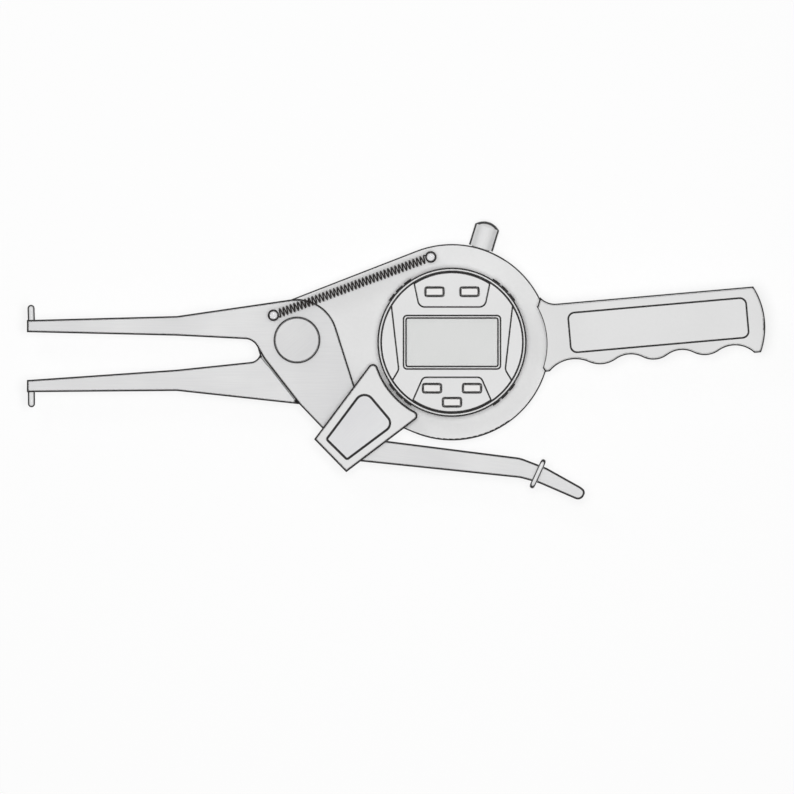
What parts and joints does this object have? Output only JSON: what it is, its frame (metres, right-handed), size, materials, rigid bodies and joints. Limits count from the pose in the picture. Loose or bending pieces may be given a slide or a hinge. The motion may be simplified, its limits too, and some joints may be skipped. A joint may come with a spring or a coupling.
{
  "type": "inside caliper gauge",
  "caption": "Digital inside caliper gauge: a squeezed lever closes a sprung arm with outward pin contacts, read on a turning round display head.",
  "frame": {"origin": "on the display head's turning axis, in the plane of the back cover that the gauge lies on", "axes": "+X along the gauge from the contacts to the handle, +Y to the side of the domed spindle cap, +Z out of the display towards the reader"},
  "size_m": [0.2953, 0.1114, 0.0222],
  "materials": {
    "steel_arm": "satin chromed steel",
    "pin_steel": "polished hard metal",
    "screw_steel": "bright steel",
    "spring_steel": "dark spring wire",
    "cast_body": "light grey paint on cast aluminium",
    "cover_plate": "satin plate",
    "bush_bronze": "sintered bronze",
    "moulding": "fine grained light grey moulding",
    "face": "smooth light grey",
    "frame_dark": "satin",
    "key": "smooth",
    "window": "clear",
    "lcd": "pale grey display, blank",
    "board": "green solder mask",
    "rubber": "soft black"
  },
  "bodies": {
    "housing": {"housing": "cast_body", "fixed_arm": "steel_arm", "fixed_contact": "pin_steel", "fixed_arm_screws": "screw_steel", "pivot_bush": "bush_bronze", "housing_spring_post": "pin_steel", "link_cover": "cast_body", "link_cover_plate": "cover_plate", "link_cover_screws": "screw_steel", "arm_stop": "rubber", "back_cover": "cast_body", "back_cover_screws": "screw_steel", "back_cover_gasket": "rubber", "battery": "screw_steel", "battery_contact": "screw_steel", "sensor_base": "moulding", "sensor_base_screws": "screw_steel", "sensor_board": "board", "lower_spindle_bush": "bush_bronze", "upper_spindle_bush": "bush_bronze", "spindle_cap": "pin_steel", "handle_front": "moulding", "handle_back": "moulding", "handle_plate": "face", "handle_screws": "screw_steel"},
    "moving_arm": {"moving_arm": "steel_arm", "moving_contact": "pin_steel", "pivot_shaft": "pin_steel", "pivot_cap": "steel_arm", "pivot_nut": "screw_steel", "arm_spring_post": "pin_steel", "trigger_lever": "steel_arm", "trigger_lever_screws": "screw_steel", "lever_collar": "pin_steel", "drive_lever": "screw_steel", "drive_pin": "pin_steel", "return_spring": "spring_steel"},
    "spindle": {"spindle": "pin_steel", "spindle_yoke": "screw_steel", "slider_board": "board"},
    "display_head": {"display_case": "moulding", "bezel": "moulding", "face_plate": "face", "upper_key_panel": "face", "lower_key_panel": "face", "lcd_frame": "frame_dark", "lcd_window": "window", "lcd_glass": "lcd", "display_board": "board", "display_case_screws": "screw_steel", "swivel_retainer": "screw_steel"},
    "battery_door": {"battery_door": "cast_body"},
    "button_upper_left": {"button_upper_left": "key"},
    "button_upper_right": {"button_upper_right": "key"},
    "button_lower_left": {"button_lower_left": "key"},
    "button_lower_right": {"button_lower_right": "key"},
    "button_lower_middle": {"button_lower_middle": "key"}
  },
  "joints": [
    {"name": "arm_pivot", "type": "hinge", "parent": "housing", "child": "moving_arm", "pos_m": [-0.062, 0.0009, 0.0131], "axis": [0, 0, 1], "range_deg": [0, 9.5], "stiffness_Nm_per_rad": 0.3, "springref_deg": -11.46, "deforming": ["return_spring"]},
    {"name": "spindle_slide", "type": "slide", "parent": "housing", "child": "spindle", "axis": [0.2924, 0.9563, 0], "range_m": [0, 0.0099]},
    {"name": "display_swivel", "type": "hinge", "parent": "housing", "child": "display_head", "pos_m": [0, 0, 0.0118], "axis": [0, 0, 1], "range_deg": [-135, 135]},
    {"name": "battery_door_turn", "type": "hinge", "parent": "housing", "child": "battery_door", "pos_m": [0.02268, -0.00275, 0.001], "axis": [0, 0, 1], "range_deg": [0, 45]},
    {"name": "press_upper_left", "type": "slide", "parent": "display_head", "child": "button_upper_left", "axis": [0, 0, -1], "range_m": [0, 0.0005], "stiffness_N_per_m": 300},
    {"name": "press_upper_right", "type": "slide", "parent": "display_head", "child": "button_upper_right", "axis": [0, 0, -1], "range_m": [0, 0.0005], "stiffness_N_per_m": 300},
    {"name": "press_lower_left", "type": "slide", "parent": "display_head", "child": "button_lower_left", "axis": [0, 0, -1], "range_m": [0, 0.0005], "stiffness_N_per_m": 300},
    {"name": "press_lower_right", "type": "slide", "parent": "display_head", "child": "button_lower_right", "axis": [0, 0, -1], "range_m": [0, 0.0005], "stiffness_N_per_m": 300},
    {"name": "press_lower_middle", "type": "slide", "parent": "display_head", "child": "button_lower_middle", "axis": [0, 0, -1], "range_m": [0, 0.0005], "stiffness_N_per_m": 300}
  ],
  "couplings": [
    {"joint": "spindle_slide", "follows": "arm_pivot", "m_per_rad": 0.059486}
  ]
}
